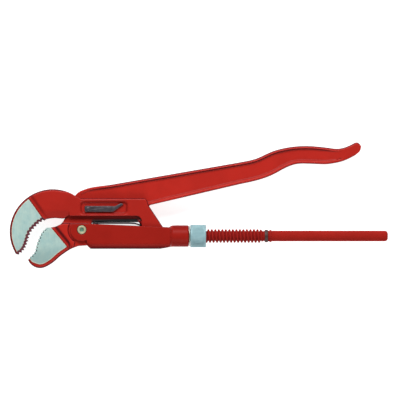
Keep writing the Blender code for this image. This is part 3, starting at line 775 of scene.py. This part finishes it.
def round_handle(points, on_handle):
    """Rounds the long edges of the handle's flanges, the upper one more than the lower."""
    edges = [segment for segment in section("lower_jaw_lever", LEVER_HALF - 0.2)
             if middle_of(segment)[0] > 24.0 and middle_of(segment)[1] > 42.0]
    thickness = LEVER_HALF + (HANDLE_HALF - LEVER_HALF) * smoothstep(points[:, 0], 80.0, 97.0)
    upper, lower = split_edges(edges)
    drop = rounded_edge(distance_to_segments(points, upper), 1.9, 3.6)
    drop += rounded_edge(distance_to_segments(points, lower), 1.2, 1.2)
    lower_faces(points, thickness, drop * on_handle)


def round_lower_jaw(points, line, from_under, gullets):
    """Steps the jaw up to its neck, rounds its underside and lowers the gullets' floors."""
    plain_half = JAW_HALF + (LOWER_NECK_HALF - JAW_HALF) * np.clip(-line / LOWER_SLOPE, 0.0, 1.0)
    half = stepped_half(-line, LOWER_NECK_HALF)
    in_jaw = (line > -7.5) & (points[:, 0] < -14.0) & (points[:, 1] < 12.0)
    reshape_half(points, plain_half, np.where(in_jaw, half, plain_half))
    width = 4.2 + 0.9 * np.exp(-((points[:, 0] + 42.0) / 9.0) ** 2)
    inward = np.clip((width - from_under) / width, 0.0, 1.0)
    rim = 2.9 * (1.0 - np.sqrt(1.0 - inward ** 2))
    before_hub = 1.0 - smoothstep(points[:, 0], -18.0, -10.0)
    lower_faces(points, half, np.maximum(rim * before_hub, GULLET_DEPTH * gullets))


def in_slot(points):
    """1 on the side of the lever that shows in the box's slot, where painted shade darkens it,
    fading to 0 outside.
    """
    x, y, z = points.T
    return band(x, *SLOT_ALONG) * band(y, *SLOT_ACROSS) * (np.abs(z) < 6.5)


def make_lower_jaw_lever():
    """Lower jaw, hub and long handle in one forging, with the jaw's face ground bare."""
    piece = remeshed("lower_jaw_lever", "lower_jaw_lever_forging", LEVER_VOXEL)
    points = design_points(piece.data)
    pairs = edge_pairs(piece.data)
    under, bite = lower_edges()
    from_under = distance_to_segments(points, under)
    from_bite = distance_to_segments(points, bite)

    weights = 0.5 * (1.0 - TOOTH_HOLD * (1.0 - smoothstep(from_bite, 1.2, 3.0)))
    points = relax(points, pairs, weights, 16)
    on_handle = smoothstep(points[:, 0], 20.0, 34.0) * smoothstep(points[:, 1], 40.0, 44.0)
    points = relax(points, pairs, 0.5 * on_handle, 12)
    end_recess(points)
    deepen_web(points)
    round_handle(points, on_handle)
    line = left_of(points, *LOWER_GROUND)
    gullets = in_gullets(points, from_bite, bite)
    round_lower_jaw(points, line, from_under, gullets)
    points = relax(points, pairs, weights, 3)

    tip = smoothstep(points[:, 0], -58.0, -50.0)
    bare = np.minimum(line, from_under - (2.6 + 1.7 * tip))
    # Painted shade in the gullets.
    attribute(piece, "tooth_shade", gullets)
    above_foot = points[:, 1] - handle_span(points[:, 0])[1]
    low_end = np.where(points[:, 0] > 268.0, 0.7, 1.6)
    attribute(piece, "open", (points[:, 0] > 60.0) & (above_foot > low_end) & (above_foot < 6.0))
    finish_forging(piece, points, pairs, bare, in_slot(points))
    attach(piece, "lever")
    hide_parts("lower_jaw_lever")
    return piece


def make_sleeve():
    """Channel bar with two cheeks, which runs softly into its tubular neck."""
    piece = remeshed("sleeve", "sleeve_forging", SLEEVE_VOXEL)
    points = design_points(piece.data)
    pairs = edge_pairs(piece.data)
    points = relax(points, pairs, np.full(len(points), 0.5), 7)
    shoulder = np.exp(-((points[:, 0] - TUBE_START + 1.0) / 3.0) ** 2)
    points = relax(points, pairs, 0.5 * shoulder, 110)
    step = np.exp(-((points[:, 0] - TUBE_START) / 4.0) ** 2)
    on_tube = 0.7 * smoothstep(points[:, 0], TUBE_START - 4.0, TUBE_START)
    attribute(piece, "open", np.maximum(step, on_tube))
    nose = distance_to_segments(points, [SLEEVE_NOSE])
    drop = rounded_edge(nose, 4.2, 2.4) * (1.0 - smoothstep(points[:, 1], -6.0, -4.0))
    lower_faces(points, np.full(len(points), SLEEVE_HALF), drop, CHANNEL_HALF)
    bare = np.full(len(points), -5.0)
    # Painted shade inside the channel.
    inside = (np.abs(points[:, 2]) < 10.9) & (points[:, 0] < 95.0) & (points[:, 1] > -8.6)
    finish_forging(piece, points, pairs, bare, inside.astype(float) * 0.5)
    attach(piece, "sleeve")
    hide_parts("sleeve")
    return piece


# The turned pieces.

THREAD_PITCH = 3.9
THREAD_ROOT = 5.5
THREAD_CREST = 7.5
THREAD = (107.0, 203.0)
BAR_RADIUS = 5.9
COLLAR_END = 211.3
BAR_END = 340.3
BAR_ROUNDING = 3.4
TENON = (72.8, 89.3)
TENON_RADIUS = 4.0
RING = (203.3, 206.9)
WASHER = (119.3, 120.2)
NUT = (120.5, 138.0)
NUT_RADIUS = 12.5
NUT_BORE = 7.65


def on_spindle(along, a, b):
    """A point at a distance along the spindle's axis, and a and b off it."""
    return ORIGIN + Vector((along, a, b)) * MM


def on_pivot(along, a, b):
    """A point at a distance along the rivet's axis, and a and b off it."""
    return ORIGIN + Vector((PIVOT[0] + a, PIVOT[1] + b, along)) * MM


def lathe(name, rows, radius_at, segments, body, node, closed_ends=True,
          place=on_spindle):
    """A turned solid: rows are (distance along the axis, radius) from one end to the other.

    radius_at(along, radius, angle) may shape the surface round each row.
    """
    shape = bmesh.new()
    rings = []
    for along, radius in rows:
        ring = []
        for i in range(segments):
            angle = 2 * math.pi * i / segments
            reach = radius_at(along, radius, angle)
            at = place(along, reach * math.cos(angle), reach * math.sin(angle))
            ring.append(shape.verts.new(at))
        rings.append(ring)
    if not closed_ends:
        rings.append(rings[0])
    for ring, after in zip(rings, rings[1:]):
        for i in range(segments):
            j = (i + 1) % segments
            shape.faces.new((ring[i], after[i], after[j], ring[j]))
    if closed_ends:
        shape.faces.new(rings[0])
        shape.faces.new(rings[-1])
    bmesh.ops.recalc_face_normals(shape, faces=shape.faces)
    mesh = bpy.data.meshes.new(name)
    shape.to_mesh(mesh)
    shape.free()
    mesh.shade_smooth()
    mesh.set_sharp_from_angle(angle=math.radians(40))
    piece = new_piece(name, mesh)
    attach(piece, body)
    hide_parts(node)
    return piece


def store_convexity(piece):
    """Stores where a piece's surface bulges, for its material."""
    points = design_points(piece.data)
    attribute(piece, "edge", convexity(piece.data, points, edge_pairs(piece.data)))


def plain(x, radius, angle):
    """A smooth round surface."""
    return radius


def thread_height(x, angle):
    """How far the thread stands out of its root, from 0 to 1, with rounded corners."""
    turn = (x - THREAD[0]) / THREAD_PITCH - angle / (2 * math.pi)
    crest_phase, foot, flank = 0.61, 0.38, 0.20
    from_crest = abs(turn - math.floor(turn) - crest_phase)
    from_crest = min(from_crest, 1.0 - from_crest)
    t = min(max((foot - from_crest) / flank, 0.0), 1.0)
    return t * t * (3 - 2 * t)


def threaded(x, radius, angle):
    """The helical thread, running out at both of its ends."""
    start, end = THREAD
    runout = min(1.0, max(0.0, min(x - start - 1.0, end - 1.0 - x) / THREAD_PITCH))
    if runout == 0.0:
        return radius
    return radius + (THREAD_CREST - THREAD_ROOT) * thread_height(x, angle) * runout


def make_spindle():
    """Tenon, guide length, rolled thread and the round handle, in one bar."""
    start, end = THREAD
    front, shoulder = TENON
    rows = [(front, 0.2), (front, TENON_RADIUS - 0.6), (front + 0.6, TENON_RADIUS),
            (shoulder, TENON_RADIUS), (shoulder, THREAD_CREST - 0.6),
            (shoulder + 0.4, THREAD_CREST),
            (start - 0.4, THREAD_CREST), (start, THREAD_CREST - 0.4), (start + 0.9, THREAD_ROOT)]
    step = 0.22
    count = round((end - start - 1.4) / step)
    rows += [(start + 1.0 + step * i, THREAD_ROOT) for i in range(count)]
    rows += [(end - 0.3, THREAD_ROOT), (end, BAR_RADIUS - 0.3), (end + 0.3, BAR_RADIUS)]
    back, tip = BAR_END, BAR_ROUNDING
    rows += [(208.0, BAR_RADIUS), (208.9, 6.5), (209.3, 6.75), (210.0, 6.75), (210.4, 6.5),
             (COLLAR_END, BAR_RADIUS)]
    rows += [(x, BAR_RADIUS) for x in range(216, 335, 6)]
    for degrees in range(0, 91, 10):
        a = math.radians(degrees)
        rows.append((back - tip + tip * math.sin(a), BAR_RADIUS - tip + tip * math.cos(a)))
    rows.append((back, 0.3))
    piece = lathe("threaded_spindle_bar", rows, threaded, 72, "hook_leg",
                  "threaded_spindle")
    store_convexity(piece)
    along = design_points(piece.data)[:, 0]
    attribute(piece, "thread", (along > start) & (along < COLLAR_END))
    return piece


def knurled(x, radius, angle):
    """Fine straight knurling round the nut between its plain rims."""
    ridges, depth, plain_rim = 72, 0.16, 1.7
    front, back = NUT
    share = min(1.0, max(0.0, min(x - front - plain_rim, back - plain_rim - x) / 0.5))
    return radius - depth * share * (1 + math.cos(ridges * angle))


def make_nut():
    """The adjusting nut, with rounded rims and a plain bore."""
    front, back = NUT
    rim, bore = NUT_RADIUS, NUT_BORE
    rows = [(front, bore + 0.45), (front + 0.5, bore), (back - 0.5, bore), (back, bore + 0.45),
            (back, rim - 0.8), (back - 0.15, rim - 0.4), (back - 0.4, rim - 0.15),
            (back - 0.8, rim)]
    count = 14
    low, high = front + 1.5, back - 1.5
    rows += [(high + (low - high) * i / count, rim) for i in range(count + 1)]
    rows += [(front + 0.8, rim), (front + 0.4, rim - 0.15), (front + 0.15, rim - 0.4),
             (front, rim - 0.8)]
    return lathe("adjusting_nut_knurled", rows, knurled, 360, "nut",
                 "adjusting_nut", closed_ends=False)


def make_flat_ring(name, node, front, back, outer, inner, rim, body, slot):
    """A ring with rounded outer edges and slightly broken inner ones."""
    rows = [(front, inner + 0.15), (front + 0.15, inner), (back - 0.15, inner),
            (back, inner + 0.15)]
    for degrees in (0, 30, 60, 90):
        a = math.radians(degrees)
        rows.append((back - rim + rim * math.cos(a), outer - rim + rim * math.sin(a)))
    for degrees in (90, 60, 30, 0):
        a = math.radians(degrees)
        rows.append((front + rim - rim * math.cos(a), outer - rim + rim * math.sin(a)))
    return lathe(name, rows, plain, 72, body, node, closed_ends=False)


def make_pivot_rivet():
    """Rivet whose two heads lie flush in the cheeks, each with a ring edge and a dimple."""
    face = SLEEVE_HALF
    half = [(face - 1.15, 0.15), (face - 1.1, 1.0), (face - 0.95, 1.8), (face - 0.5, 2.3),
            (face - 0.12, 2.7), (face, 3.1), (face, 3.9), (face - 0.1, 4.4),
            (face - 0.35, 4.75), (face - 0.8, 4.9), (face - 1.4, 4.9), (face - 1.4, 4.1)]
    rows = half + [(-along, radius) for along, radius in reversed(half)]
    piece = lathe("pivot_rivet_headed", rows, plain, 64, "sleeve", "pivot_rivet",
                  place=on_pivot)
    points = design_points(piece.data)
    from_axis = np.hypot(points[:, 0] - PIVOT[0], points[:, 1] - PIVOT[1])
    attribute(piece, "rim", smoothstep(from_axis, 1.9, 3.1))
    return piece


# The springs and their rivets.

def bevelled(node, name, width, segments=2):
    """A copy of a CAD node with its edges broken."""
    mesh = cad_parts[node].data.copy()
    shape = bmesh.new()
    shape.from_mesh(mesh)
    bmesh.ops.remove_doubles(shape, verts=shape.verts, dist=1e-6)
    bmesh.ops.dissolve_limit(shape, angle_limit=math.radians(1.0), verts=shape.verts,
                             edges=shape.edges)
    shape.to_mesh(mesh)
    shape.free()
    mesh.materials.clear()
    piece = new_piece(name, mesh)
    step = piece.modifiers.new("broken_edges", "BEVEL")
    step.width = width * MM
    step.segments = segments
    step.limit_method = "ANGLE"
    step.angle_limit = math.radians(40)
    bake_modifiers(piece)
    piece.data.shade_smooth()
    piece.data.set_sharp_from_angle(angle=math.radians(35))
    return piece


def make_springs():
    """The guide plate in the box's pocket, the leaf under the lever, and their rivets."""
    made = []
    for node, name, width, body in (
            ("guide_spring", "guide_spring_plate", 0.45, "hook_leg"),
            ("guide_spring_rivet", "guide_spring_rivet_head", 0.25, "hook_leg"),
            ("return_spring_rivet", "return_spring_rivet_head", 0.25, "lever")):
        piece = bevelled(node, name, width)
        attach(piece, body)
        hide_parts(node)
        made.append(piece)
    leaf = bevelled("return_spring", "return_spring_leaf", 0.2)
    points = design_points(leaf.data)
    at_root = (points[:, 1] > 14.6) & (points[:, 0] < 62.0)
    points[at_root, 1] += 0.25
    put_points(leaf.data, points)
    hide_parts("return_spring")
    made.append(leaf)
    return made


# Put the wrench together.

hook = make_hook_jaw()
lever = make_lower_jaw_lever()
sleeve = make_sleeve()
spindle = make_spindle()
nut = make_nut()
ring = make_flat_ring("stop_ring_band", "stop_ring", *RING, 7.0, 6.2, 0.3, "hook_leg",
                      "ring_steel")
washer = make_flat_ring("thrust_washer_disc", "thrust_washer", *WASHER, 11.2, 7.9, 0.25,
                        "sleeve", "rivet_steel")
rivet = make_pivot_rivet()
springs = make_springs()
leaf = springs[-1]
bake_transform(leaf)

# Each forging gets a lighter or darker copy of the same red enamel, as painted light and shade:
# lightest on the lower jaw lever, darkest on the sleeve.
hook.data.materials.append(forged_material("enamel_and_ground_hook", math.radians(62), 0.98))
lever.data.materials.append(forged_material("enamel_and_ground_lower", math.radians(40), 1.12,
                                             low_darkening=0.55))
sleeve.data.materials.append(forged_material("enamel_on_sleeve", 0.0, 0.80, 0.05))
spindle.data.materials.append(spindle_material())
nut.data.materials.append(metal_material("zinc_plated", ZINC, ZINC_DEEP, 0.58, 5.0, 0.6,
                                         metallic=0.15))
ring.data.materials.append(metal_material("grey_ring_steel", RING_GREY, RING_DEEP, 0.55,
                                          metallic=0.2))
rivet.data.materials.append(rivet_material())
washer.data.materials.append(metal_material("rivet_steel", BRIGHT, BRIGHT_DEEP, 0.34, 2.0, 0.25))
spring_finish = metal_material("blued_spring_steel", BLUED, BLUED_DEEP, 0.38, 4.0, 0.3,
                               (0.1, 1.0, 1.0))
for piece in springs:
    piece.data.materials.append(spring_finish)


# The studio, in metres and watts.

KEY_PLACE = Vector((-0.15, 0.85, 0.75))
KEY_SIZE = (1.0, 0.5)
KEY_POWER = 16.0
FILL_PLACE = Vector((0.25, -0.9, 0.7))
FILL_SIZE = (1.2, 0.6)
FILL_POWER = 6.5
WALLS = 0.28
CEILING = 0.20
FLOOR_GLOW = 0.85
CAMERA_DISTANCE = 6.0
FIELD_WIDTH = 0.44504
CAMERA_AIM = Vector((0.00135, 0.00588, 0.0))


def floor_material():
    """A pale, faintly uneven matt floor."""
    shader = Shader("studio_floor", Roughness=0.9, Specular_IOR_Level=0.1)
    shade = shader.ramp(shader.noise(180.0, 2.0), 0.3, 0.7)
    shader.set("Base Color", shader.mix(shade, (0.56, 0.56, 0.56), (0.60, 0.60, 0.60)))
    shader.set("Emission Color", (1.0, 1.0, 1.0, 1.0))
    shader.set("Emission Strength", FLOOR_GLOW)
    return shader.material


def make_floor():
    """The floor, just under the wrench."""
    mesh = bpy.data.meshes.new("floor")
    shape = bmesh.new()
    bmesh.ops.create_grid(shape, x_segments=8, y_segments=8, size=3.0)
    shape.to_mesh(mesh)
    shape.free()
    floor = new_piece("floor", mesh)
    floor.location.z = cad_box[0].z - 0.1 * MM
    floor.data.materials.append(floor_material())


def area_light(name, at, target, width, height, power):
    """A large soft lamp that points at a target and isn't seen itself."""
    lamp = bpy.data.lights.new(name, "AREA")
    lamp.shape = "RECTANGLE"
    lamp.size = width
    lamp.size_y = height
    lamp.energy = power
    holder = bpy.data.objects.new(name, lamp)
    bpy.context.scene.collection.objects.link(holder)
    holder.location = at
    holder.rotation_mode = "QUATERNION"
    holder.rotation_quaternion = (Vector(target) - Vector(at)).to_track_quat("-Z", "Y")
    holder.visible_camera = False


def soft_room():
    """A pale room whose ceiling is darker than its walls, so that flat faces stay deep."""
    world = bpy.data.worlds.new("studio")
    world.use_nodes = True
    tree = world.node_tree
    where = tree.nodes.new("ShaderNodeTexCoord")
    parts = tree.nodes.new("ShaderNodeSeparateXYZ")
    level = tree.nodes.new("ShaderNodeMapRange")
    level.inputs["From Min"].default_value = 0.35
    level.inputs["From Max"].default_value = 0.95
    level.inputs["To Min"].default_value = WALLS
    level.inputs["To Max"].default_value = CEILING
    tree.links.new(where.outputs["Generated"], parts.inputs["Vector"])
    tree.links.new(parts.outputs["Z"], level.inputs["Value"])
    tree.links.new(level.outputs["Result"], tree.nodes["Background"].inputs["Strength"])
    tree.nodes["Background"].inputs["Color"].default_value = (1.0, 1.0, 1.0, 1.0)
    return world


def light_studio(centre):
    """A key light beyond the long handle and a weaker fill from the other side."""
    bpy.context.scene.world = soft_room()
    area_light("key", centre + KEY_PLACE, centre, *KEY_SIZE, KEY_POWER)
    area_light("fill", centre + FILL_PLACE, centre, *FILL_SIZE, FILL_POWER)


def make_camera(centre):
    """Looks straight down on the wrench from far off through a long lens."""
    lens = bpy.data.cameras.new("camera")
    lens.lens = lens.sensor_width * CAMERA_DISTANCE / FIELD_WIDTH
    lens.clip_start = 0.05
    lens.clip_end = 20.0
    camera = bpy.data.objects.new("camera", lens)
    bpy.context.scene.collection.objects.link(camera)
    camera.location = centre + Vector((0.0, 0.0, CAMERA_DISTANCE))
    bpy.context.scene.camera = camera


cad_middle = (Vector(cad_box[0]) + Vector(cad_box[1])) / 2
make_floor()
light_studio(cad_middle)
make_camera(cad_middle + CAMERA_AIM)
bpy.context.scene.view_settings.view_transform = "Standard"
